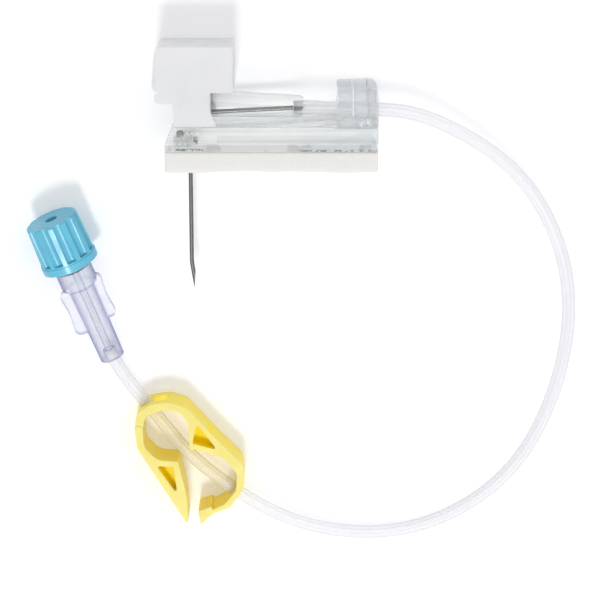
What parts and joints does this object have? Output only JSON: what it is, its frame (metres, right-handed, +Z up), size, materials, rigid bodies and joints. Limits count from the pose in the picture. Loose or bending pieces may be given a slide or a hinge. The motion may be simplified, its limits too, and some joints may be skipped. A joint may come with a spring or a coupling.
{
  "type": "safety needle infusion set",
  "caption": "Bent port needle with a frosted grip, folding clear safety guard and foam pad, flexible tubing, pinch clamp, and a winged socket connector with a fluted cap.",
  "frame": {"origin": "on the table under the middle of the needle assembly (guard, grip, hub and needle), which lies on its side", "axes": "+X along the guard pad away from the needle, +Y from the needle's tip to the grip, +Z up from the table"},
  "size_m": [0.1164, 0.1102, 0.0141],
  "materials": {
    "steel": "polished",
    "clear": "gloss",
    "frosted": "satin",
    "foam": "matte",
    "yellow": "gloss",
    "clear_violet": "gloss",
    "blue": "gloss",
    "tube": "gloss"
  },
  "bodies": {
    "needle_and_line": {"needle_cannula": "steel", "needle_hub": "clear", "grip_handle": "frosted", "tubing": "tube", "clamp_frame": "yellow", "luer_connector": "clear_violet"},
    "upper_arm": {"upper_arm": "clear"},
    "lower_arm": {"lower_arm": "clear"},
    "guard": {"base_platform": "clear", "foam_pad": "foam", "tip_clip": "steel"},
    "clamp_jaw": {"clamp_jaw": "yellow"},
    "luer_cap": {"luer_cap": "blue"}
  },
  "joints": [
    {"name": "hub_hinge", "type": "hinge", "parent": "needle_and_line", "child": "upper_arm", "pos_m": [-0.0172, 0.0132, 0.007], "axis": [0, 0, -1], "range_deg": [0, 28.5]},
    {"name": "elbow_hinge", "type": "hinge", "parent": "upper_arm", "child": "lower_arm", "pos_m": [0.01976, 0.0105, 0.007], "axis": [0, 0, 1], "range_deg": [0, 57]},
    {"name": "guard_hinge", "type": "hinge", "parent": "lower_arm", "child": "guard", "pos_m": [-0.0172, 0.0078, 0.007], "axis": [0, 0, -1], "range_deg": [0, 28.5]},
    {"name": "clamp_jaw_hinge", "type": "hinge", "parent": "needle_and_line", "child": "clamp_jaw", "pos_m": [-0.02738, -0.05772, 0.004], "axis": [0, 0, 1], "range_deg": [0, 5], "stiffness_Nm_per_rad": 0.05, "deforming": ["tubing"]},
    {"name": "cap_slide", "type": "slide", "parent": "needle_and_line", "child": "luer_cap", "axis": [-0.3466, 0.9269, 0.1441], "range_m": [0, 0.016]}
  ],
  "couplings": [
    {"joint": "elbow_hinge", "follows": "hub_hinge", "ratio": 2},
    {"joint": "guard_hinge", "follows": "hub_hinge", "ratio": 1}
  ]
}
